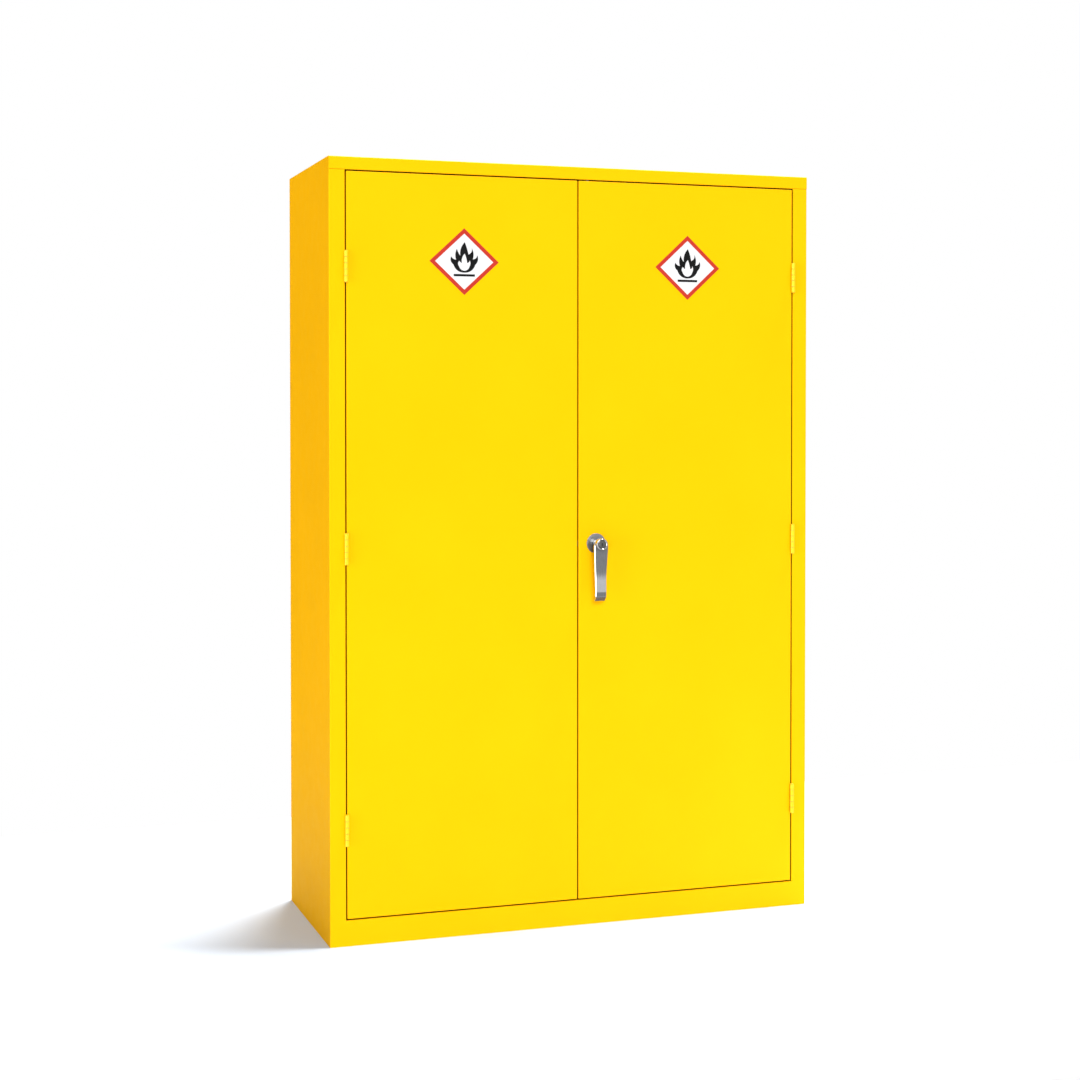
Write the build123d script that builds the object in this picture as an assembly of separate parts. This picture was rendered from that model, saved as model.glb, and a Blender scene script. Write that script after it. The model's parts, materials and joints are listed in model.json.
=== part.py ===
from build123d import *

from math import radians, sin
import os

# Two-door flammable storage cabinet in folded sheet steel.
#
# Frame: +Z up, the doors face -Y, the origin is the centre of the footprint on the floor. Millimetres.
# Each function returns one sub-part, and save_all() writes one STEP file per sub-part.

# --- driving dimensions of the cabinet --------------------------------------------------------
WIDTH = 1220.0
DEPTH = 457.0
HEIGHT = 1830.0
SHEET = 1.2  # body, door and shelf steel
BEND = 2.0  # radius of the outside of a fold

STILE = 38.0  # width of the front frame beside each door
TOP_RAIL = 30.0  # height of the front frame above the doors
SILL = 60.5  # height of the front frame below the doors, which is also the sump's depth
GAP = 3.0  # clearance all round each door
DOOR_DEPTH = 25.0  # thickness of the folded door pan
DOOR_LIP = 20.0  # width of the flange folded in behind the pan
STOP_CLEARANCE = 1.5  # between a closed door and the frame's stop lip
STOP_LIP = 14.0  # how far the stop lip reaches behind the door
REAR_FLANGE = 20.0
SEAM = 0.4  # open weld seam between the top panel's front and each stile
BACK_CLEARANCE = 1.0  # at the back panel's sides and top
OVERRUN = 1.0  # how far a cut runs past the metal that it goes through

# --- derived places ---------------------------------------------------------------------------
HALF = WIDTH / 2
FRONT = -DEPTH / 2
BACK = DEPTH / 2
OPENING_X = HALF - STILE  # half the width of the door opening
OPENING_TOP = HEIGHT - TOP_RAIL
DOOR_X = OPENING_X - GAP  # hinge edge of a door, from the middle
DOOR_BOTTOM = SILL + GAP
DOOR_TOP = OPENING_TOP - GAP
DOOR_BACK = FRONT + DOOR_DEPTH
STOP_Y = DOOR_BACK + STOP_CLEARANCE
STOP_X = OPENING_X - STOP_LIP
SILL_X = OPENING_X + BEND  # the sill meets the flat of each stile
INNER_BACK = BACK - 2 * SHEET  # inner face of the back panel

# --- hinges -----------------------------------------------------------------------------------
HINGE_MIDDLE = 924.0  # height of the middle hinge, and of the lock
HINGE_PITCH = 653.0
HINGE_LENGTH = 72.4  # without the pin's heads
KNUCKLES = 5
KNUCKLE_R = 5.0
PIN_R = 2.5
PIN_CLEARANCE = 0.05
KNUCKLE_GAP = 0.4  # at each end of a knuckle
PIN_HEAD_R, PIN_HEAD = 4.4, 0.8
PIN_HEAD_EDGE_R = 0.6
LEAF = 1.2  # leaf thickness
LEAF_DEPTH = 18.0
LEAF_RECESS = 0.2  # from the door's outside face in to the front of each leaf
AXIS_X = OPENING_X - GAP / 2
AXIS_Y = FRONT - KNUCKLE_R - 0.2  # the knuckles stand just clear of the doors

# --- handle, as distances out from the door's outside face --------------------------------------
LOCK_X = 46.0
LOCK_Z = HINGE_MIDDLE
FIT = 0.1  # radial clearance of the lock's turning parts
PRESS_FIT = 0.05  # radial clearance of parts that are fixed in each other
ROSE_R = 24.0
ROSE = 2.5
ROSE_EDGE_R = 0.8
HUB_R = 10.0  # neck between the head and the rose
HUB_END = ROSE + 0.6
HEAD_R = 14.0  # round head around the lock cylinder
HEAD_FRONT, HEAD_BACK = 45.0, 30.0
HEAD_EDGE_R = 1.4
BLADE = 8.0  # thickness of the lever's blade
BLADE_FACE = [(40.4, 11), (35.4, -71), (37, -116), (36.4, -127), (27.4, -137)]  # (out, height)
BLADE_BENDS = [300, 20, 6]  # radii of the hollow face and of the curl at the tip
BLADE_SIDE = [(8, 11), (18, -3), (14.5, -80), (13.9, -145)]  # (half width, height)
BLADE_SIDE_BENDS = [8, 400]
BLADE_BEVEL = 1.6  # along the sides of its face
BARREL_R = 10.0  # lock cylinder
BARREL_FRONT, BARREL_BACK = 44.4, 32.0
PLUG_R = 6.6
PLUG_FRONT, PLUG_BACK = 44.7, 32.5
PLUG_BEVEL = 0.5
GROOVE = 0.9  # bevel on both sides of the joint between the head and the lock cylinder
KEYWAY_HALF_WIDTH, KEYWAY_HALF_HEIGHT = 1.1, 4.2
KEYWAY_END = 34.0
SPINDLE_R = 6.0
SPINDLE_FRONT, SPINDLE_SEAT = 22.0, 24.0  # the spindle's end, and the end of its seat in the lever

# --- lock works, as depths behind the door's outside face --------------------------------------
NECK_R = 10.0  # the rose's neck, through the skin
NECK_CLEARANCE = 0.2
PLATE = 2.5  # thickness of the reinforcement plate
PLATE_LEFT, PLATE_RIGHT = 36.0, 44.0  # its sides, from the lock
PLATE_HALF_HEIGHT = 70.0
PLATE_CORNER_R = 5.0
NUT = 5.0
NUT_HALF = 13.5  # from the nut's middle to its flats
NECK_END = SHEET + PLATE + NUT
CAM_FACE = 9.4  # front of the cam plate
CAM = 3.0
CAM_R = 19.0
CAM_SQUARE_HALF = 4.0
NOSE_LENGTH = 58.0
NOSE_HALF = 7.0
NOSE_CORNER_R = 5.0
SLOT_ABOVE, SLOT_BELOW = 9.0, 42.0  # the nose's slots in the door edges, from the lock's height
SLOT_CLEARANCE = 1.0  # in front of and behind the nose
WASHER_R, WASHER_HOLE_R = 6.2, 3.2
SCREW_SEAT = CAM_FACE + CAM + 1.0  # behind a washer 1 mm thick
SCREW_R = 3.0
SCREW_TIP, TAPPED_END = -2.0, -4.0  # both in front of the door's face
SCREW_HEAD_R, SCREW_HEAD = 5.2, 1.9
SCREW_HEAD_EDGE_R = 1.2
SOCKET_HALF = 1.6
SOCKET_FLOOR = 0.7  # metal left between the socket and the screw's seat
CRANK_R = 14.0  # from the spindle to each drive pin
CRANK_RISE = CRANK_R * sin(radians(45))  # of a drive pin, at each end of the handle's quarter turn
DRIVE_PIN_R = 3.0
DRIVE_PIN_END = 19.4

# --- lock rods --------------------------------------------------------------------------------
ROD_R = 4.0
ROD_OFFSET = 16.0  # sideways, from the spindle to each rod
ROD_LAYER = 17.0  # depth of the rods' axes behind the door's face
ROD_CLEARANCE = 0.3
ROD_START = 24.0  # height of each rod's inner end above or below the lock
ROD_TRAVEL = 2 * CRANK_RISE
ROD_BEVEL = 1.5
FORK_HALF = 1.5  # half the fork's thickness
FORK_OUTSIDE, FORK_INSIDE = 24.0, 6.5  # the fork's sides, from the spindle
FORK_END = 34.0  # the fork's outer end above or below the lock
FORK_PAST_PIN = 9.0
FORK_CLEARANCE = 0.6
GUIDE = 1.5  # thickness of a guide's foot
GUIDE_HALF_WIDTH, GUIDE_HALF_HEIGHT = 14.0, 12.0
GUIDE_ARM = 2.0  # thickness of a guide's arm
GUIDE_ARM_HALF_WIDTH = 10.0
GUIDE_ARM_END = 22.6
GUIDE_CORNER_R = 4.0
GUIDE_HEIGHTS = {"upper": (1040.0, 1700.0), "lower": (808.0, 160.0)}
KEEPER_PLATE = 3.0
KEEPER_HALF_WIDTH = 20.0
KEEPER_FRONT, KEEPER_BACK = 10.0, 7.0  # from the rod's axis to the plate's edges
KEEPER_HOLE_R = 5.0

# --- inside -----------------------------------------------------------------------------------
SUMP_LIP = 58.0
UPRIGHT_Y = (-150.0, 180.0)
UPRIGHT_BOTTOM, UPRIGHT_TOP = 70.0, 1780.0
UPRIGHT_RISE = 7.0
UPRIGHT_WEB = 14.0
UPRIGHT_FLANGE = 8.0
UPRIGHT_BEND = 1.5
SLOT_PITCH = 25.0
SLOT_FIRST = 100.0
SLOT_COUNT = 66
SLOT_WIDTH, SLOT_HEIGHT = 3.0, 12.0
SHELF_SLOTS = {"lower": 14, "middle": 31, "upper": 48}  # the slot that each shelf's clips hook into
SHELF_X = 598.0
SHELF_FRONT, SHELF_BACK = -190.0, 222.0
SHELF_LIP = 30.0
SHELF_HEM, SHELF_HEM_RETURN = 12.0, 8.0
SHELF_RISE = 8.0  # a shelf's underside above its clips' upper slot
CLIP = 1.5
CLIP_HALF = 6.0
CLIP_DROP, CLIP_SEAT = 38.0, 22.0  # height of a clip, and width of its seat
TONGUE_HALF = 1.2
TONGUE_REACH = 3.4
TONGUE_CLEARANCE = 0.4
TONGUE_HOOK = 3.0

# --- door details -----------------------------------------------------------------------------
WINDOW_CORNER_R = 4.0
STIFFENER_HALF = 25.0
STIFFENER_FLANGE = 15.0
STIFFENER_RISE = 19.0
DOOR_MIDDLE = (DOOR_X + GAP / 2) / 2
LABEL_Z = 1595.0
LABEL_HALF_WIDTH, LABEL_HALF_HEIGHT = 85.0, 78.5
LABEL = 0.25  # thickness of each label


# --- helpers ----------------------------------------------------------------------------------
def block(x, y, z):
    """A box between the two limits given for each axis."""
    size = [high - low for low, high in (x, y, z)]
    middle = [(high + low) / 2 for low, high in (x, y, z)]
    return Pos(*middle) * Box(*size)


def rod_y(x, z, radius, y):
    """A cylinder along Y between two limits."""
    return Pos(x, sum(y) / 2, z) * Rot(90, 0, 0) * Cylinder(radius, y[1] - y[0])


def rod_z(x, y, radius, z):
    """A cylinder along Z between two limits."""
    return Pos(x, y, sum(z) / 2) * Cylinder(radius, z[1] - z[0])


def plate_y(sketch, y):
    """A sketch drawn as seen from the front (x, z), as a plate between two limits of Y."""
    plane = Plane(origin=(0, y[1], 0), x_dir=(1, 0, 0), z_dir=(0, -1, 0))
    return extrude(plane * sketch, amount=y[1] - y[0])


def fold(points, thickness=SHEET, radius=BEND):
    """The section of a folded sheet: the metal lies to the left of the path along its outside."""
    return make_face(offset(FilletPolyline(*points, radius=radius), thickness, side=Side.LEFT))


def fold_along_x(points, half_length, **sheet):
    """A folded sheet with its section in the YZ plane, centred on X."""
    section = Plane.YZ.offset(-half_length) * fold(points, **sheet)
    return extrude(section, amount=2 * half_length)


def mirrored(shape):
    return mirror(shape, about=Plane.YZ)


def layer(depth):
    """Y of a plane this far behind the door's outside face, or in front of it where negative."""
    return FRONT + depth


# --- carcass ----------------------------------------------------------------------------------
def left_side_panel():
    """Side, front stile, door stop and rear flange, folded from one sheet."""
    section = fold(
        [
            (-HALF + REAR_FLANGE, BACK),
            (-HALF, BACK),
            (-HALF, FRONT),
            (-OPENING_X, FRONT),
            (-OPENING_X, STOP_Y),
            (-STOP_X, STOP_Y),
        ]
    )
    panel = extrude(section, amount=HEIGHT - SHEET)
    above = (OPENING_TOP - SEAM, HEIGHT)
    front = FRONT - OVERRUN
    panel -= block((-HALF + SHEET, 0), (front, STOP_Y + 2 * BEND), above)
    panel -= block((-HALF - OVERRUN, 0), (front, FRONT + SHEET), above)
    return panel - block((-SILL_X, 0), (front, STOP_Y + 2 * BEND), (-OVERRUN, SILL))


def top_panel():
    """Top with its front rail, the door stop behind it and a rear flange."""
    panel = fold_along_x(
        [
            (BACK, HEIGHT - REAR_FLANGE),
            (BACK, HEIGHT),
            (FRONT, HEIGHT),
            (FRONT, OPENING_TOP),
            (STOP_Y, OPENING_TOP),
            (STOP_Y, OPENING_TOP - STOP_LIP),
        ],
        HALF,
    )
    under = HEIGHT - SHEET
    for side in (-1, 1):
        outside = side * (HALF + OVERRUN)
        ends = sorted((outside, side * (HALF - SHEET)))
        panel -= block(ends, (FRONT + SHEET, BACK), (0, under))
        behind = sorted((outside, side * (HALF - REAR_FLANGE)))
        panel -= block(behind, (BACK - 2 * BEND, BACK + OVERRUN), (0, under))
        beside = sorted((outside, side * STOP_X))
        panel -= block(beside, (FRONT + SHEET, BACK), (0, OPENING_TOP))
    hole_z = (OPENING_TOP - OVERRUN, OPENING_TOP + SHEET + OVERRUN)
    return panel - rod_z(LOCK_X - ROD_OFFSET, layer(ROD_LAYER), KEEPER_HOLE_R, hole_z)


def front_sill():
    """Rail below the doors, with the lower door stop."""
    sill = fold_along_x(
        [
            (STOP_Y, SILL + STOP_LIP),
            (STOP_Y, SILL),
            (FRONT, SILL),
            (FRONT, 0),
        ],
        SILL_X,
    )
    for side in (-1, 1):
        beside = sorted((side * (SILL_X + OVERRUN), side * STOP_X))
        sill -= block(beside, (FRONT, STOP_Y + 2 * BEND), (SILL, SILL + STOP_LIP + OVERRUN))
    hole_z = (SILL - SHEET - OVERRUN, SILL + OVERRUN)
    return sill - rod_z(LOCK_X + ROD_OFFSET, layer(ROD_LAYER), KEEPER_HOLE_R, hole_z)


def back_panel():
    """Flat sheet welded inside the rear flanges."""
    half, top = HALF - SHEET - BACK_CLEARANCE, HEIGHT - SHEET - BACK_CLEARANCE
    return block((-half, half), (INNER_BACK, INNER_BACK + SHEET), (0, top))


def sump_tray():
    """Liquid-tight tray that is the cabinet's floor and closes the feet of the stiles."""
    half, front = HALF - SHEET, FRONT + SHEET
    outer = block((-half, half), (front, INNER_BACK), (0, SUMP_LIP))
    outer = fillet(outer.edges() - outer.faces().sort_by(Axis.Z)[-1].edges(), BEND)
    inner = block(
        (-half + SHEET, half - SHEET),
        (front + SHEET, INNER_BACK - SHEET),
        (SHEET, SUMP_LIP + OVERRUN),
    )
    return outer - fillet(inner.edges() - inner.faces().sort_by(Axis.Z)[-1].edges(), BEND - SHEET)


def keeper_plate(x, z):
    """Hardened plate that a lock rod's end enters."""
    y = layer(ROD_LAYER)
    across = (x - KEEPER_HALF_WIDTH, x + KEEPER_HALF_WIDTH)
    plate = block(across, (y - KEEPER_FRONT, y + KEEPER_BACK), z)
    plate = fillet(plate.edges().filter_by(Axis.Z), BEND)
    return plate - rod_z(x, y, KEEPER_HOLE_R, (z[0] - OVERRUN, z[1] + OVERRUN))


def shelf_upright(y):
    """Slotted top-hat strip on the left side panel."""
    wall = -HALF + SHEET
    web, foot = wall + UPRIGHT_RISE, wall + SHEET
    half, end = UPRIGHT_WEB / 2, UPRIGHT_WEB / 2 + UPRIGHT_FLANGE
    section = fold(
        [
            (foot, y - end),
            (foot, y - half),
            (web, y - half),
            (web, y + half),
            (foot, y + half),
            (foot, y + end),
        ],
        radius=UPRIGHT_BEND,
    )
    strip = Pos(0, 0, UPRIGHT_BOTTOM) * extrude(section, amount=UPRIGHT_TOP - UPRIGHT_BOTTOM)
    across = (web - 2 * SHEET, web + OVERRUN)
    width = (y - SLOT_WIDTH / 2, y + SLOT_WIDTH / 2)
    slots = [
        block(across, width, (slot_z(i) - SLOT_HEIGHT / 2, slot_z(i) + SLOT_HEIGHT / 2))
        for i in range(SLOT_COUNT)
    ]
    return strip - slots


def slot_z(index):
    return SLOT_FIRST + SLOT_PITCH * index


def shelf_seat(name):
    """Height of the underside of a shelf."""
    return slot_z(SHELF_SLOTS[name]) + SHELF_RISE


def spill_shelf(name):
    """Tray shelf with raised, hemmed edges."""
    z = shelf_seat(name)
    rim = z + SHELF_LIP
    section = [
        (SHELF_BACK - SHELF_HEM, rim - SHELF_HEM_RETURN),
        (SHELF_BACK - SHELF_HEM, rim),
        (SHELF_BACK, rim),
        (SHELF_BACK, z),
        (SHELF_FRONT, z),
        (SHELF_FRONT, rim),
        (SHELF_FRONT + SHELF_HEM, rim),
        (SHELF_FRONT + SHELF_HEM, rim - SHELF_HEM_RETURN),
    ]
    shelf = fold_along_x([(y, v) for y, v in reversed(section)], SHELF_X)
    for side in (-1, 1):
        across = sorted((side * SHELF_X, side * (SHELF_X - SHEET)))
        shelf += block(across, (SHELF_FRONT + BEND, SHELF_BACK - BEND), (z, rim))
    return shelf


def shelf_clip(y, name):
    """Bent clip hooked into two slots of a left upright, with the seat that the shelf rests on."""
    top = shelf_seat(name)
    web = -HALF + SHEET + UPRIGHT_RISE
    width = (y - CLIP_HALF, y + CLIP_HALF)
    clip = block((web, web + CLIP), width, (top - CLIP_DROP, top))
    clip += block((web, web + CLIP_SEAT), width, (top - CLIP, top))
    tongue, behind = (y - TONGUE_HALF, y + TONGUE_HALF), web - TONGUE_REACH
    for index in (SHELF_SLOTS[name], SHELF_SLOTS[name] - 1):
        z = slot_z(index)
        bearing = z - SLOT_HEIGHT / 2
        clip += block((behind, web), tongue, (bearing, z))
        clip += block((behind, web - SHEET - TONGUE_CLEARANCE), tongue, (bearing - TONGUE_HOOK, z))
    return clip


def shelf_clips(name):
    left = [shelf_clip(y, name) for y in UPRIGHT_Y]
    return Compound(left + [mirrored(clip) for clip in left])


# --- hinges -----------------------------------------------------------------------------------
def hinge_leaf(z, x, turns):
    """A leaf of a left hinge: its plate spans x, and turns numbers its knuckles from the bottom."""
    low = z - HINGE_LENGTH / 2
    pitch = HINGE_LENGTH / KNUCKLES
    start = FRONT + LEAF_RECESS
    leaf = block(x, (start, start + LEAF_DEPTH), (low, low + HINGE_LENGTH))
    for turn in turns:
        span = (low + pitch * turn + KNUCKLE_GAP, low + pitch * (turn + 1) - KNUCKLE_GAP)
        leaf += block(x, (AXIS_Y, start), span)
        leaf += rod_z(-AXIS_X, AXIS_Y, KNUCKLE_R, span)
    bore = (low - OVERRUN, low + HINGE_LENGTH + OVERRUN)
    return leaf - rod_z(-AXIS_X, AXIS_Y, PIN_R + PIN_CLEARANCE, bore)


def frame_leaf(z):
    return hinge_leaf(z, (-OPENING_X, -OPENING_X + LEAF), range(0, KNUCKLES, 2))


def door_leaf(z):
    return hinge_leaf(z, (-DOOR_X - LEAF, -DOOR_X), range(1, KNUCKLES, 2))


def hinge_pin(z):
    """Pin with a domed head at each end."""
    half = HINGE_LENGTH / 2
    pin = rod_z(-AXIS_X, AXIS_Y, PIN_R, (z - half, z + half))
    for side in (-1, 1):
        span = sorted((z + side * half, z + side * (half + PIN_HEAD)))
        head = rod_z(-AXIS_X, AXIS_Y, PIN_HEAD_R, span)
        end = head.edges().sort_by(Axis.Z)[-1 if side > 0 else 0]
        pin += fillet(end, PIN_HEAD_EDGE_R)
    return pin


# --- doors ------------------------------------------------------------------------------------
def door_pan():
    """Left door: outside skin, four returns and the flange behind, with the slot for the lock's nose."""
    x, y, z = (-DOOR_X, -GAP / 2), (FRONT, DOOR_BACK), (DOOR_BOTTOM, DOOR_TOP)
    outer = block(x, y, z)
    outer = fillet(outer.edges() - outer.faces().sort_by(Axis.Y)[-1].edges(), BEND)
    inner = block(
        (x[0] + SHEET, x[1] - SHEET), (y[0] + SHEET, y[1] - SHEET), (z[0] + SHEET, z[1] - SHEET)
    )
    inner = fillet(inner.edges() - inner.faces().sort_by(Axis.Y)[-1].edges(), BEND - SHEET)
    window = block(
        (x[0] + DOOR_LIP, x[1] - DOOR_LIP),
        (y[0] + DOOR_DEPTH / 2, y[1] + OVERRUN),
        (z[0] + DOOR_LIP, z[1] - DOOR_LIP),
    )
    window = fillet(window.edges().filter_by(Axis.Y), WINDOW_CORNER_R)
    slot = block(
        (x[1] - 2 * SHEET, x[1] + OVERRUN),
        (layer(CAM_FACE - SLOT_CLEARANCE), layer(CAM_FACE + CAM + SLOT_CLEARANCE)),
        (LOCK_Z - SLOT_BELOW, LOCK_Z + SLOT_ABOVE),
    )
    return outer - inner - window - slot


def right_door_pan():
    """The left pan's mirror image, drilled for the lock's neck and its two rods."""
    neck_hole = at_lock(NECK_R + NECK_CLEARANCE, -OVERRUN, SHEET + OVERRUN)
    pan = mirrored(door_pan()) - neck_hole
    for side, z in ((-1, DOOR_TOP), (1, DOOR_BOTTOM)):
        through = (z - SHEET - OVERRUN, z + SHEET + OVERRUN)
        hole_x = LOCK_X + side * ROD_OFFSET
        pan -= rod_z(hole_x, layer(ROD_LAYER), ROD_R + ROD_CLEARANCE, through)
    return pan


def door_stiffener():
    """Vertical top-hat section welded behind the left door's skin."""
    skin = layer(SHEET)
    x, half, end = -DOOR_MIDDLE, STIFFENER_HALF, STIFFENER_HALF + STIFFENER_FLANGE
    foot, web = skin + SHEET, skin + STIFFENER_RISE
    section = fold(
        [
            (x + end, foot),
            (x + half, foot),
            (x + half, web),
            (x - half, web),
            (x - half, foot),
            (x - end, foot),
        ]
    )
    bottom = DOOR_BOTTOM + 2 * SHEET
    return Pos(0, 0, bottom) * extrude(section, amount=DOOR_TOP - 2 * SHEET - bottom)


def door_label():
    """Diamond label on the left door."""
    corners = [
        (-DOOR_MIDDLE - LABEL_HALF_WIDTH, LABEL_Z),
        (-DOOR_MIDDLE, LABEL_Z - LABEL_HALF_HEIGHT),
        (-DOOR_MIDDLE + LABEL_HALF_WIDTH, LABEL_Z),
        (-DOOR_MIDDLE, LABEL_Z + LABEL_HALF_HEIGHT),
    ]
    return plate_y(make_face(Polyline(*corners, close=True)), (FRONT - LABEL, FRONT))


# --- handle -----------------------------------------------------------------------------------
def at_lock(radius, front, back):
    """A cylinder on the lock's axis, between two depths behind the door's outside face."""
    return rod_y(LOCK_X, LOCK_Z, radius, (layer(front), layer(back)))


def front_edges(shape):
    return shape.faces().sort_by(Axis.Y)[0].edges()


def handle_rose():
    """Round plate on the door's face, with the neck that carries the spindle through the skin."""
    disc = at_lock(ROSE_R, -ROSE, 0)
    disc = fillet(front_edges(disc), ROSE_EDGE_R)
    bore = at_lock(SPINDLE_R + FIT, -ROSE - OVERRUN, NECK_END + OVERRUN)
    return disc + at_lock(NECK_R, 0, NECK_END) - bore


def lever_blade():
    """Tapered blade, hollowed along its face, curled inwards at its tip and bevelled at its sides."""
    face = FilletPolyline(
        *[(layer(-out), LOCK_Z + rise) for out, rise in BLADE_FACE], radius=BLADE_BENDS
    )
    widest = max(half for half, _ in BLADE_SIDE)
    profile = Plane.YZ.offset(LOCK_X - widest) * make_face(offset(face, BLADE, side=Side.LEFT))
    right = FilletPolyline(
        *[(LOCK_X + half, LOCK_Z + rise) for half, rise in BLADE_SIDE], radius=BLADE_SIDE_BENDS
    )
    left = mirror(right, Plane.YZ.offset(LOCK_X))
    outline = make_face(right + left + Line(right @ 0, left @ 0) + Line(right @ 1, left @ 1))
    blade = extrude(profile, amount=2 * widest) & plate_y(outline, (layer(-HEAD_FRONT), FRONT))

    middle_line = Plane.YZ.offset(LOCK_X) * face

    def is_beside_face(edge):
        place = edge.center()
        aside = abs(place.X - LOCK_X) > HUB_R
        return aside and middle_line.distance_to(Vector(LOCK_X, place.Y, place.Z)) < FIT

    return chamfer(blade.edges().filter_by(is_beside_face), BLADE_BEVEL)


def handle_lever():
    """Cast head, neck and blade, with the seats of the spindle and of the lock cylinder."""
    head = at_lock(HEAD_R, -HEAD_FRONT, -HEAD_BACK)
    lever = fillet(front_edges(head), HEAD_EDGE_R) + at_lock(HUB_R, -HEAD_BACK, -HUB_END)
    lever += lever_blade()
    lever -= at_lock(SPINDLE_R + PRESS_FIT, -SPINDLE_SEAT, 0)
    seat_r = BARREL_R + FIT
    lever -= at_lock(seat_r, -HEAD_FRONT - OVERRUN, -BARREL_BACK)
    bevel = Cone(seat_r, seat_r + 2 * GROOVE, 2 * GROOVE)
    return lever - Pos(LOCK_X, layer(-HEAD_FRONT), LOCK_Z) * Rot(90, 0, 0) * bevel


def lock_barrel():
    """Fixed sleeve of the lock cylinder, in the head's front."""
    sleeve = at_lock(BARREL_R, -BARREL_FRONT, -BARREL_BACK)
    sleeve = chamfer(front_edges(sleeve), GROOVE)
    return sleeve - at_lock(PLUG_R + FIT, -BARREL_FRONT - OVERRUN, 0)


def lock_plug():
    """Keyed plug that turns in the sleeve."""
    plug = at_lock(PLUG_R, -PLUG_FRONT, -PLUG_BACK)
    plug = chamfer(front_edges(plug), PLUG_BEVEL)
    return plug - block(
        (LOCK_X - KEYWAY_HALF_WIDTH, LOCK_X + KEYWAY_HALF_WIDTH),
        (layer(-PLUG_FRONT - OVERRUN), layer(-KEYWAY_END)),
        (LOCK_Z - KEYWAY_HALF_HEIGHT, LOCK_Z + KEYWAY_HALF_HEIGHT),
    )


# --- lock works -------------------------------------------------------------------------------
def lock_plate():
    """Reinforcement behind the skin at the lock."""
    plate = block(
        (LOCK_X - PLATE_LEFT, LOCK_X + PLATE_RIGHT),
        (layer(SHEET), layer(SHEET + PLATE)),
        (LOCK_Z - PLATE_HALF_HEIGHT, LOCK_Z + PLATE_HALF_HEIGHT),
    )
    plate = fillet(plate.edges().filter_by(Axis.Y), PLATE_CORNER_R)
    return plate - at_lock(NECK_R + NECK_CLEARANCE, 0, SHEET + PLATE + OVERRUN)


def neck_nut():
    """Hexagon nut that clamps the rose's neck to the reinforcement plate."""
    hexagon = Pos(LOCK_X, LOCK_Z) * RegularPolygon(NUT_HALF, 6, major_radius=False)
    nut = plate_y(hexagon, (layer(SHEET + PLATE), layer(NECK_END)))
    return nut - at_lock(NECK_R + PRESS_FIT, 0, NECK_END + OVERRUN)


def cam_square(half, y):
    return block((LOCK_X - half, LOCK_X + half), y, (LOCK_Z - half, LOCK_Z + half))


def handle_spindle():
    """Round shaft with a squared end for the cam and a tapped hole for its screw."""
    shaft = at_lock(SPINDLE_R, -SPINDLE_FRONT, CAM_FACE)
    shaft += cam_square(CAM_SQUARE_HALF, (layer(CAM_FACE), layer(CAM_FACE + CAM)))
    return shaft - at_lock(SCREW_R + PRESS_FIT, TAPPED_END, CAM_FACE + CAM + OVERRUN)


def lock_cam():
    """Plate on the spindle: a nose that enters the other door, and a drive pin for each rod."""
    y = (layer(CAM_FACE), layer(CAM_FACE + CAM))
    nose = block((LOCK_X - NOSE_LENGTH, LOCK_X), y, (LOCK_Z - NOSE_HALF, LOCK_Z + NOSE_HALF))
    nose = fillet(nose.edges().filter_by(Axis.Y).group_by(Axis.X)[0], NOSE_CORNER_R)
    cam = at_lock(CAM_R, CAM_FACE, CAM_FACE + CAM) + nose
    for side in (-1, 1):
        pin_x, pin_z = LOCK_X + side * CRANK_RISE, LOCK_Z - side * CRANK_RISE
        cam += rod_y(pin_x, pin_z, DRIVE_PIN_R, (y[1], layer(DRIVE_PIN_END)))
    return cam - cam_square(CAM_SQUARE_HALF + PRESS_FIT, (y[0] - OVERRUN, y[1] + OVERRUN))


def cam_washer():
    face = CAM_FACE + CAM
    return at_lock(WASHER_R, face, SCREW_SEAT) - at_lock(WASHER_HOLE_R, face, SCREW_SEAT)


def cam_screw():
    """Button-head screw in the spindle's end."""
    head = at_lock(SCREW_HEAD_R, SCREW_SEAT, SCREW_SEAT + SCREW_HEAD)
    head = fillet(head.faces().sort_by(Axis.Y)[-1].edges(), SCREW_HEAD_EDGE_R)
    screw = head + at_lock(SCREW_R, SCREW_TIP, SCREW_SEAT)
    socket = Pos(LOCK_X, LOCK_Z) * RegularPolygon(SOCKET_HALF, 6, major_radius=False)
    end = SCREW_SEAT + SCREW_HEAD + OVERRUN
    return screw - plate_y(socket, (layer(SCREW_SEAT + SOCKET_FLOOR), layer(end)))


def lock_rod(side):
    """Rod with the fork that its drive pin moves. side is 1 for the upper rod, -1 for the lower."""
    y = layer(ROD_LAYER)
    inside = DOOR_TOP - SHEET if side > 0 else DOOR_BOTTOM + SHEET
    ends = sorted((LOCK_Z + side * ROD_START, inside + side * ROD_TRAVEL))
    rod = rod_z(LOCK_X - side * ROD_OFFSET, y, ROD_R, ends)
    rod = chamfer(rod.edges().sort_by(Axis.Z)[-1 if side > 0 else 0], ROD_BEVEL)

    pin_z = LOCK_Z + side * CRANK_RISE
    inner_x = LOCK_X - side * FORK_INSIDE
    fork_y = (y - FORK_HALF, y + FORK_HALF)
    fork = block(
        sorted((LOCK_X - side * FORK_OUTSIDE, inner_x)),
        fork_y,
        sorted((pin_z - side * FORK_PAST_PIN, LOCK_Z + side * FORK_END)),
    )
    slot_half = DRIVE_PIN_R + FORK_CLEARANCE
    slot_x = sorted((LOCK_X - side * (CRANK_R + slot_half), inner_x + side * OVERRUN))
    return rod + fork - block(slot_x, fork_y, (pin_z - slot_half, pin_z + slot_half))


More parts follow.
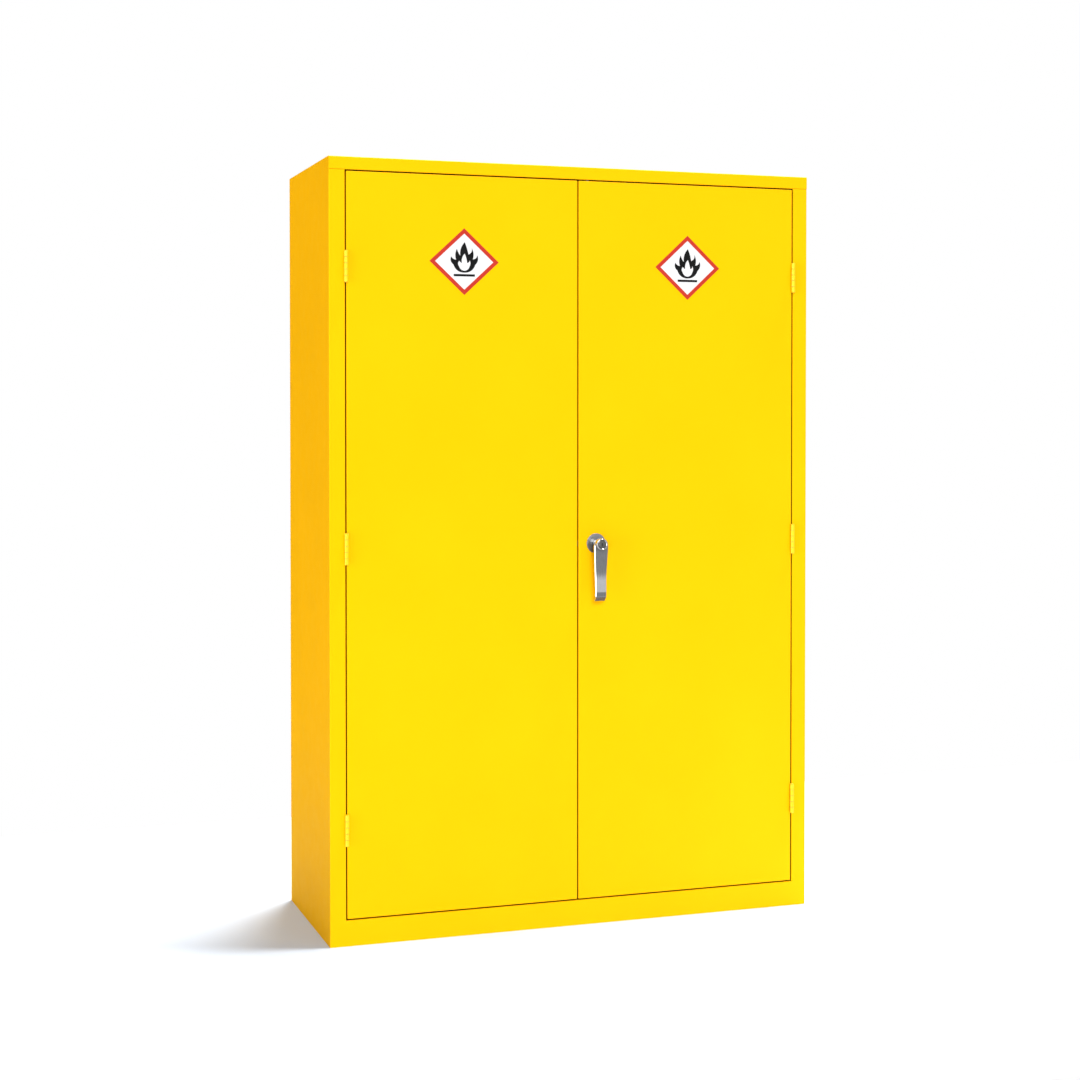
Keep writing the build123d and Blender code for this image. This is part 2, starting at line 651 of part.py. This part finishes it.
def rod_guide(x, z):
    """Bracket welded to the door's skin, with the hole that a rod slides in."""
    foot = block(
        (x - GUIDE_HALF_WIDTH, x + GUIDE_HALF_WIDTH),
        (layer(SHEET), layer(SHEET + GUIDE)),
        (z - GUIDE_HALF_HEIGHT, z + GUIDE_HALF_HEIGHT),
    )
    arm = block(
        (x - GUIDE_ARM_HALF_WIDTH, x + GUIDE_ARM_HALF_WIDTH),
        (layer(SHEET + GUIDE), layer(GUIDE_ARM_END)),
        (z - GUIDE_ARM / 2, z + GUIDE_ARM / 2),
    )
    guide = foot + fillet(arm.edges().filter_by(Axis.Z).group_by(Axis.Y)[-1], GUIDE_CORNER_R)
    hole_r = ROD_R + ROD_CLEARANCE
    return guide - rod_z(x, layer(ROD_LAYER), hole_r, (z - GUIDE_ARM, z + GUIDE_ARM))


# --- everything -------------------------------------------------------------------------------
def sub_parts():
    """Every sub-part by name."""
    side = left_side_panel()
    parts = {
        "left_side_panel": side,
        "right_side_panel": mirrored(side),
        "top_panel": top_panel(),
        "back_panel": back_panel(),
        "sump_tray": sump_tray(),
        "front_sill": front_sill(),
        "upper_keeper_plate": keeper_plate(
            LOCK_X - ROD_OFFSET, (OPENING_TOP + SHEET, OPENING_TOP + SHEET + KEEPER_PLATE)
        ),
        "lower_keeper_plate": keeper_plate(
            LOCK_X + ROD_OFFSET, (SILL - SHEET - KEEPER_PLATE, SILL - SHEET)
        ),
    }
    for where, y in zip(("front", "rear"), UPRIGHT_Y):
        upright = shelf_upright(y)
        parts[f"left_{where}_upright"] = upright
        parts[f"right_{where}_upright"] = mirrored(upright)
    for name in SHELF_SLOTS:
        parts[f"{name}_shelf"] = spill_shelf(name)
        parts[f"{name}_shelf_clips"] = shelf_clips(name)
    heights = {
        "lower": HINGE_MIDDLE - HINGE_PITCH,
        "middle": HINGE_MIDDLE,
        "upper": HINGE_MIDDLE + HINGE_PITCH,
    }
    for name, z in heights.items():
        for piece, make in (
            ("frame_leaf", frame_leaf),
            ("door_leaf", door_leaf),
            ("hinge_pin", hinge_pin),
        ):
            shape = make(z)
            parts[f"left_{name}_{piece}"] = shape
            parts[f"right_{name}_{piece}"] = mirrored(shape)
    stiffener, label = door_stiffener(), door_label()
    parts.update(
        {
            "left_door_panel": door_pan(),
            "right_door_panel": right_door_pan(),
            "left_door_stiffener": stiffener,
            "right_door_stiffener": mirrored(stiffener),
            "left_door_label": label,
            "right_door_label": mirrored(label),
            "lock_plate": lock_plate(),
            "handle_rose": handle_rose(),
            "neck_nut": neck_nut(),
            "handle_lever": handle_lever(),
            "lock_barrel": lock_barrel(),
            "lock_plug": lock_plug(),
            "handle_spindle": handle_spindle(),
            "lock_cam": lock_cam(),
            "cam_washer": cam_washer(),
            "cam_screw": cam_screw(),
            "upper_lock_rod": lock_rod(1),
            "lower_lock_rod": lock_rod(-1),
        }
    )
    for name, side in (("upper", -1), ("lower", 1)):
        for where, z in zip(("inner", "outer"), GUIDE_HEIGHTS[name]):
            parts[f"{name}_rod_{where}_guide"] = rod_guide(LOCK_X + side * ROD_OFFSET, z)
    return parts


def save_all():
    os.makedirs("parts", exist_ok=True)
    for name, shape in sub_parts().items():
        export_step(shape, f"parts/{name}.step")


save_all()
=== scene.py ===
import json
import math

import bmesh
import bpy
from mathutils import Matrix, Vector


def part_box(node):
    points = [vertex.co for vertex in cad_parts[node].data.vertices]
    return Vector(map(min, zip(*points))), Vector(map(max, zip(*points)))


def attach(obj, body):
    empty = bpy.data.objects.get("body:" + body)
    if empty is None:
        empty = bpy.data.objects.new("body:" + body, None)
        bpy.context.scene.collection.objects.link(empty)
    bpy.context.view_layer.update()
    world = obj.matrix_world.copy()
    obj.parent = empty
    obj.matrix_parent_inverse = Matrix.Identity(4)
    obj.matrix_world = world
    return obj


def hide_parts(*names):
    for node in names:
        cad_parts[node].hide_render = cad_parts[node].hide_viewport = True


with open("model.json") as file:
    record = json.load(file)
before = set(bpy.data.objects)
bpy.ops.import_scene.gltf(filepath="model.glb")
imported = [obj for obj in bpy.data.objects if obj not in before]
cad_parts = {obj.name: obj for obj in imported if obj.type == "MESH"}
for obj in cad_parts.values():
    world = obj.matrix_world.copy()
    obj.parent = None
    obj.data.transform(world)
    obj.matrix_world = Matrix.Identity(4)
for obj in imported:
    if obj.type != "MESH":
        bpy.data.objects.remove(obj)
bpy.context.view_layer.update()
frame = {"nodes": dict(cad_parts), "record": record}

scene = bpy.context.scene
MM = 0.001

# --- places taken from the CAD ----------------------------------------------------------------
LABELS = {side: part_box(f"{side}_door_label") for side in ("left", "right")}

# --- label artwork, in mm from the label's centre ---------------------------------------------
BORDER_SHARE = 0.16  # width of the border as a share of the diamond's half size
FLAME = [  # (x, z, bulge of the edge that leads to the next point)
    (0, -26, -5.8),
    (27, -7, -4),
    (32, 16, 3),
    (21, 6, -3),
    (18, 33, 4),
    (10, 17, -1),
    (1, 46, -4),
    (-10, 14, 1),
    (-18, 30, -3),
    (-20, 4, 2),
    (-32, 12, -4),
    (-27, -7, -5.8),
]
FLAME_CORE = [
    (0, -21.5, -2.8),
    (13, -11, -2),
    (13, 4, 2),
    (7, -3, -1),
    (1, 19, -3),
    (-6, -3, 1),
    (-12, 2, -3),
    (-13, -11, -2.8),
]
BAR = [(-26, -34.8, 0), (26, -34.8, 0), (26, -29.3, 0), (-26, -29.3, 0)]
EDGE_STEPS = 8
FIELD_SHARE = 0.99  # width of the white field, which the border covers at its edge


# --- node helpers -----------------------------------------------------------------------------
CLOSED_SHARE = 0.15  # a place no more open than this gets a seam's darkest shade


class Nodes:
    """Adds and links the shader nodes of one material."""

    def __init__(self, name):
        self.material = bpy.data.materials.new(name)
        self.material.use_nodes = True
        self.tree = self.material.node_tree
        self.shader = self.tree.nodes["Principled BSDF"]
        self.place = self.add("ShaderNodeTexCoord").outputs["Object"]

    def add(self, kind, **settings):
        made = self.tree.nodes.new(kind)
        for key, value in settings.items():
            setattr(made, key, value)
        return made

    def link(self, source, target):
        self.tree.links.new(source, target)

    def stretched(self, scale):
        """The object's coordinates in metres, multiplied per axis."""
        mapping = self.add("ShaderNodeMapping")
        mapping.inputs["Scale"].default_value = scale
        self.link(self.place, mapping.inputs["Vector"])
        return mapping.outputs["Vector"]

    def noise(self, scale, detail=2.0, rough=0.5, place=None):
        """Noise with features of about 1/scale metres."""
        noise = self.add("ShaderNodeTexNoise")
        noise.inputs["Scale"].default_value = scale
        noise.inputs["Detail"].default_value = detail
        noise.inputs["Roughness"].default_value = rough
        self.link(place or self.place, noise.inputs["Vector"])
        return noise.outputs["Fac"]

    def ramp(self, factor, stops):
        """A colour ramp through (position, colour) stops."""
        ramp = self.add("ShaderNodeValToRGB")
        points = ramp.color_ramp.elements
        while len(points) < len(stops):
            points.new(0.5)
        for point, (position, colour) in zip(points, stops):
            point.position = position
            point.color = (*colour, 1.0)
        self.link(factor, ramp.inputs["Fac"])
        return ramp.outputs["Color"]

    def span(self, factor, low, high):
        """The factor's middle range, mapped to low..high."""
        spread = self.add("ShaderNodeMapRange")
        spread.inputs["From Min"].default_value = 0.3
        spread.inputs["From Max"].default_value = 0.7
        spread.inputs["To Min"].default_value = low
        spread.inputs["To Max"].default_value = high
        self.link(factor, spread.inputs["Value"])
        return spread.outputs["Result"]

    def painted_shade_in_seams(self, colour, reach, darkest, open_share):
        """The colour with painted shade, darker where surfaces within reach (in metres) leave less than
        open_share open.
        """
        crevice = self.add("ShaderNodeAmbientOcclusion", samples=8)
        crevice.inputs["Distance"].default_value = reach
        stops = [(CLOSED_SHARE, (darkest,) * 3), (open_share, (1.0, 1.0, 1.0))]
        shade = self.ramp(crevice.outputs["AO"], stops)
        mix = self.add("ShaderNodeMix", data_type="RGBA", blend_type="MULTIPLY")
        mix.inputs["Factor"].default_value = 1.0
        self.link(colour, mix.inputs["A"])
        self.link(shade, mix.inputs["B"])
        return mix.outputs["Result"]

    def bump(self, height, strength, distance, below=None):
        """The surface normal after relief of this height, on top of the relief below it if given."""
        bump = self.add("ShaderNodeBump")
        bump.inputs["Strength"].default_value = strength
        bump.inputs["Distance"].default_value = distance
        self.link(height, bump.inputs["Height"])
        if below is not None:
            self.link(below, bump.inputs["Normal"])
        return bump.outputs["Normal"]

    def finish(self, colour, roughness, normal, **constants):
        """Links the shader's inputs, and sets the constants on its own sockets."""
        self.link(colour, self.shader.inputs["Base Color"])
        self.link(roughness, self.shader.inputs["Roughness"])
        self.link(normal, self.shader.inputs["Normal"])
        for key, value in constants.items():
            self.shader.inputs[key.replace("_", " ")].default_value = value
        return self.material


# --- materials --------------------------------------------------------------------------------
def powder_coat(name, tones, rough, gloss, gloss_tint):
    """Smooth yellow powder coat with fine orange peel, a little uneven, and with painted shade in its
    seams.
    """
    n = Nodes(name)
    patches = n.noise(4.0, 3.0)
    paint = n.ramp(patches, [(0.3, tones[0]), (0.7, tones[1])])
    # painted shade: the paint's colour is darkened where nearby surfaces close it in, as in door gaps and
    # seams
    colour = n.painted_shade_in_seams(paint, reach=12 * MM, darkest=0.25, open_share=0.5)
    roughness = n.span(n.noise(35.0), *rough)
    waves = n.bump(n.noise(90.0, 1.0), 0.10, 0.0004)
    peel = n.bump(n.noise(520.0, 2.0), 0.16, 0.0001, waves)
    return n.finish(
        colour, roughness, peel, Specular_IOR_Level=gloss, Specular_Tint=(*gloss_tint, 1.0)
    )


def galvanised():
    """Hot-dip zinc with flat spangles."""
    n = Nodes("galvanised")
    spangle = n.add("ShaderNodeTexVoronoi", feature="F1")
    spangle.inputs["Scale"].default_value = 85.0
    n.link(n.place, spangle.inputs["Vector"])
    shade = n.add("ShaderNodeSeparateColor")
    n.link(spangle.outputs["Color"], shade.inputs["Color"])
    tone = shade.outputs["Red"]
    colour = n.ramp(tone, [(0.0, (0.40, 0.42, 0.44)), (0.6, (0.55, 0.57, 0.59)), (1.0, (0.68, 0.69, 0.70))])
    roughness = n.span(tone, 0.34, 0.50)
    grain = n.bump(n.noise(600.0), 0.05, 0.0001)
    return n.finish(colour, roughness, grain, Metallic=1.0)


def zinc_plate():
    """Bright zinc plating on pressed steel."""
    n = Nodes("zinc_plate")
    cloud = n.noise(60.0, 3.0)
    colour = n.ramp(cloud, [(0.3, (0.52, 0.53, 0.54)), (0.7, (0.64, 0.65, 0.66))])
    roughness = n.span(n.noise(220.0), 0.28, 0.40)
    grain = n.bump(n.noise(900.0), 0.06, 0.0001)
    return n.finish(colour, roughness, grain, Metallic=1.0)


def brushed(name, tones, rough, along):
    """Plated metal with fine brushing that runs along one axis, and with painted shade in its seams."""
    n = Nodes(name)
    lines = n.noise(1.0, 3.0, 0.6, n.stretched(along))
    plating = n.ramp(lines, [(0.3, tones[0]), (0.7, tones[1])])
    # painted shade: the plating's colour is darkened where nearby parts close it in, as below the lever's
    # head
    colour = n.painted_shade_in_seams(plating, reach=16 * MM, darkest=0.15, open_share=0.95)
    roughness = n.span(lines, *rough)
    grain = n.bump(lines, 0.05, 0.0001)
    return n.finish(colour, roughness, grain, Metallic=1.0)


def vinyl(name, low, high):
    """Printed vinyl, a little uneven where it follows the paint under it."""
    n = Nodes(name)
    colour = n.ramp(n.noise(45.0, 3.0), [(0.3, low), (0.7, high)])
    roughness = n.span(n.noise(150.0), 0.30, 0.42)
    normal = n.bump(n.noise(300.0), 0.08, 0.0001)
    return n.finish(colour, roughness, normal, Specular_IOR_Level=0.1)


MATERIALS = {
    "yellow_powder_coat": powder_coat(
        "powder_coat",
        tones=((0.915, 0.444, 0.0008), (0.945, 0.460, 0.0012)),
        rough=(0.42, 0.50),
        gloss=0.30,
        gloss_tint=(1.0, 0.85, 0.05),
    ),
    # the hinges' copy of the yellow paint: its lighter tone is a painted highlight, and it is also glossier
    "hinge_coat_with_painted_highlight": powder_coat(
        "hinge_coat_with_painted_highlight",
        tones=((0.915, 0.560, 0.004), (0.945, 0.590, 0.006)),
        rough=(0.28, 0.34),
        gloss=0.60,
        gloss_tint=(1.0, 1.0, 0.6),
    ),
    "galvanised_shelf": galvanised(),
    "zinc_steel": zinc_plate(),
    "chrome": brushed(
        "satin_chrome",
        tones=((0.47, 0.47, 0.47), (0.60, 0.60, 0.61)),
        rough=(0.10, 0.18),
        along=(1500, 1500, 25),
    ),
    # the rose: the lever's satin chrome in darker tones, which paint in the dim grey that it mirrors
    # (painted shade)
    "rose": brushed(
        "rose_chrome_with_painted_shade",
        tones=((0.27, 0.28, 0.29), (0.35, 0.36, 0.37)),
        rough=(0.30, 0.40),
        along=(900, 900, 60),
    ),
    "plug_metal": brushed(
        "lock_metal",
        tones=((0.15, 0.15, 0.145), (0.26, 0.255, 0.24)),
        rough=(0.14, 0.24),
        along=(1800, 1800, 300),
    ),
}
BORDER_RED = vinyl("border_red", (0.44, 0.028, 0.014), (0.48, 0.033, 0.018))
FIELD_WHITE = vinyl("field_white", (0.64, 0.63, 0.63), (0.69, 0.68, 0.68))
FLAME_BLACK = vinyl("flame_black", (0.002, 0.002, 0.002), (0.006, 0.006, 0.006))


def dress_cad_nodes():
    """Gives each shown CAD node its slot's material, or its own on the rose, lock sleeve and hinges."""
    slots = {part["node"]: part["material_slot"] for part in frame["record"]["subparts"]}
    # the rose takes the darker chrome, whose darker tone is painted shade
    slots["handle_rose"] = "rose"
    slots["lock_barrel"] = "plug_metal"
    for name, node in frame["nodes"].items():
        # leaves and pins take the lighter copy of the paint, whose lighter tone is a painted highlight
        if name.endswith(("_leaf", "_hinge_pin")):
            slots[name] = "hinge_coat_with_painted_highlight"
        material = MATERIALS.get(slots[name])
        if material is None:
            continue
        node.data.materials.clear()
        node.data.materials.append(material)


# --- labels -----------------------------------------------------------------------------------
def curved(points):
    """A closed outline whose edges bow to one side by each point's bulge."""
    outline = []
    for (x0, z0, bulge), (x1, z1, _) in zip(points, points[1:] + points[:1]):
        start, end = Vector((x0, z0)), Vector((x1, z1))
        along = (end - start).normalized()
        middle = (start + end) / 2 + 2 * bulge * Vector((-along.y, along.x))
        for step in range(EDGE_STEPS):
            t = step / EDGE_STEPS
            outline.append((1 - t) ** 2 * start + 2 * t * (1 - t) * middle + t**2 * end)
    return outline


def plate(name, outlines, centre, depth, material, body):
    """Flat print: outlines in mm about the centre, as a plate between two distances off the door."""
    curve = bpy.data.curves.new(name, "CURVE")
    curve.dimensions = "2D"
    curve.fill_mode = "BOTH"
    curve.extrude = (depth[1] - depth[0]) / 2
    for outline in outlines:
        spline = curve.splines.new("POLY")
        spline.points.add(len(outline) - 1)
        for point, (x, z) in zip(spline.points, outline):
            point.co = (x * MM, z * MM, 0, 1)
        spline.use_cyclic_u = True
    shape = bpy.data.objects.new(name + "_curve", curve)
    mesh = bpy.data.meshes.new_from_object(shape)
    bpy.data.objects.remove(shape)
    bpy.data.curves.remove(curve)
    mesh.name = name
    back = centre.y - (depth[0] + depth[1]) / 2
    for vertex in mesh.vertices:
        x, z, off = vertex.co
        vertex.co = (centre.x + x, back - off, centre.z + z)
    clean = bmesh.new()
    clean.from_mesh(mesh)
    bmesh.ops.remove_doubles(clean, verts=clean.verts, dist=1e-7)
    bmesh.ops.recalc_face_normals(clean, faces=clean.faces)
    clean.to_mesh(mesh)
    clean.free()
    mesh.materials.clear()
    mesh.materials.append(material)
    piece = bpy.data.objects.new(name, mesh)
    scene.collection.objects.link(piece)
    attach(piece, body)
    return piece


def diamond(half_width, half_height, share):
    reach_x, reach_z = half_width * share, half_height * share
    return [(-reach_x, 0), (0, -reach_z), (reach_x, 0), (0, reach_z)]


def make_label(side):
    """White diamond with a red border, and a plain black flame over a bar."""
    low, high = LABELS[side]
    door_face = high.y
    thickness = high.y - low.y
    centre = Vector(((low.x + high.x) / 2, door_face, (low.z + high.z) / 2))
    half = ((high.x - low.x) / 2 / MM, (high.z - low.z) / 2 / MM)
    body = f"{side}_door"
    inner = 1 - BORDER_SHARE
    backing = (0, 0.7 * thickness)
    print_layer = (0.5 * thickness, 0.95 * thickness)
    field = plate(f"label_field_{side}", [diamond(*half, FIELD_SHARE)], centre, backing, FIELD_WHITE, body)
    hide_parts(f"{side}_door_label")
    rings = [diamond(*half, 1.0), diamond(*half, inner)]
    plate(f"label_border_{side}", rings, centre, print_layer, BORDER_RED, body)
    flame = [curved(FLAME), curved(FLAME_CORE)]
    plate(f"label_flame_{side}", flame, centre, print_layer, FLAME_BLACK, body)
    plate(f"label_bar_{side}", [curved(BAR)], centre, print_layer, FLAME_BLACK, body)


# --- studio -----------------------------------------------------------------------------------
CAMERA_PLACE = (-1.5429, -4.4577, 1.2310)
CAMERA_YAW, CAMERA_PITCH = 18.876, 1.143  # degrees to the right, and down
LENS = 62.307
SHIFT_Y = -0.08
FLOOR_X, FLOOR_Y = (-2.5, 2.5), (-1.5, 1.2)
FILL_COLOUR = (0.98, 0.99, 1.03)
ROOM_BRIGHTNESS = 0.48
DARKEST = 0.02
# Each card or flag: its direction, the angles from there to its edge and to where it has its full
# brightness, and the brightness that it adds to the room.
CARDS_AND_FLAGS = [
    ((0, 0, -1), 92, 70, 0.85),  # lights everything from below
    ((0.32, -0.07, -0.94), 40, 22, -1.10),  # darkens the lever's tip
    ((0.32, -0.95, -0.40), 22, 14, -0.95),  # darkens the lever's upper part
    ((0.32, -0.95, 0.20), 30, 10, 0.60),  # brightens the lever's lower part
    ((-0.20, 0.97, -0.12), 52, 30, -1.5),  # keeps the left side free of gloss
    ((1.0, 0.1, 0.0), 60, 30, -0.25),  # dims the right side
    ((-0.94, -0.34, 0.0), 18, 8, 6.5),  # gives bevels and hinge knuckles their highlights
]


def make_camera():
    camera = bpy.data.objects.new("camera", bpy.data.cameras.new("camera"))
    camera.location = CAMERA_PLACE
    camera.rotation_euler = (math.radians(90 - CAMERA_PITCH), 0, math.radians(-CAMERA_YAW))
    camera.data.sensor_width = 36.0
    camera.data.lens = LENS
    camera.data.shift_y = SHIFT_Y
    camera.data.clip_end = 200.0
    scene.collection.objects.link(camera)
    scene.camera = camera


def make_floor():
    """A pale floor that the paint and the metal don't mirror."""
    floor_mesh = bpy.data.meshes.new("floor")
    (left, right), (near, far) = FLOOR_X, FLOOR_Y
    corners = [(left, near, 0), (right, near, 0), (right, far, 0), (left, far, 0)]
    floor_mesh.from_pydata(corners, [], [(0, 1, 2, 3)])
    floor = bpy.data.objects.new("floor", floor_mesh)
    floor.visible_glossy = False
    scene.collection.objects.link(floor)
    n = Nodes("floor_white")
    colour = n.ramp(n.noise(3.0), [(0.3, (0.565, 0.625, 0.700)), (0.7, (0.585, 0.645, 0.720))])
    roughness = n.span(n.noise(20.0), 0.75, 0.85)
    normal = n.bump(n.noise(80.0), 0.02, 0.0005)
    floor_mesh.materials.append(n.finish(colour, roughness, normal, Specular_IOR_Level=0.1))


def make_sun(name, towards_light, strength, angle):
    """A soft sun. strength is the brightness that it gives a white surface facing it."""
    light = bpy.data.lights.new(name, "SUN")
    light.energy = strength * math.pi
    light.angle = math.radians(angle)
    sun = bpy.data.objects.new(name, light)
    sun.rotation_euler = Vector(towards_light).to_track_quat("Z", "Y").to_euler()
    scene.collection.objects.link(sun)


def make_world():
    """White for the camera. What lights and is mirrored: an even studio with soft cards and flags."""
    world = bpy.data.worlds.new("studio")
    world.use_nodes = True
    scene.world = world
    tree = world.node_tree
    seen = tree.nodes["Background"]
    seen.inputs["Color"].default_value = (1.0, 1.0, 1.0, 1.0)
    seen.inputs["Strength"].default_value = 1.0
    lit = tree.nodes.new("ShaderNodeBackground")
    lit.inputs["Color"].default_value = (*FILL_COLOUR, 1.0)
    direction = tree.nodes.new("ShaderNodeTexCoord").outputs["Generated"]
    total = tree.nodes.new("ShaderNodeValue").outputs["Value"]
    total.default_value = ROOM_BRIGHTNESS
    for towards, edge_angle, full_angle, brightness in CARDS_AND_FLAGS:
        dot = tree.nodes.new("ShaderNodeVectorMath")
        dot.operation = "DOT_PRODUCT"
        dot.inputs[1].default_value = Vector(towards).normalized()
        tree.links.new(direction, dot.inputs[0])
        patch = tree.nodes.new("ShaderNodeMapRange")
        patch.interpolation_type = "SMOOTHSTEP"
        patch.inputs["From Min"].default_value = math.cos(math.radians(edge_angle))
        patch.inputs["From Max"].default_value = math.cos(math.radians(full_angle))
        patch.inputs["To Max"].default_value = brightness
        tree.links.new(dot.outputs["Value"], patch.inputs["Value"])
        plus = tree.nodes.new("ShaderNodeMath")
        tree.links.new(total, plus.inputs[0])
        tree.links.new(patch.outputs["Result"], plus.inputs[1])
        total = plus.outputs["Value"]
    limit = tree.nodes.new("ShaderNodeMath")
    limit.operation = "MAXIMUM"
    limit.inputs[1].default_value = DARKEST
    tree.links.new(total, limit.inputs[0])
    tree.links.new(limit.outputs["Value"], lit.inputs["Strength"])
    path = tree.nodes.new("ShaderNodeLightPath")
    mix = tree.nodes.new("ShaderNodeMixShader")
    tree.links.new(path.outputs["Is Camera Ray"], mix.inputs["Fac"])
    tree.links.new(lit.outputs["Background"], mix.inputs[1])
    tree.links.new(seen.outputs["Background"], mix.inputs[2])
    tree.links.new(mix.outputs["Shader"], tree.nodes["World Output"].inputs["Surface"])


make_camera()
make_world()
make_floor()
make_sun("front_light", (-0.15, -0.90, 0.35), 0.66, 24)
make_sun("right_light", (0.30, -0.04, 1.00), 1.06, 9)
make_sun("rear_light", (0.25, 0.31, 1.00), 1.25, 18)
scene.view_settings.view_transform = "Standard"

dress_cad_nodes()
for side in LABELS:
    make_label(side)
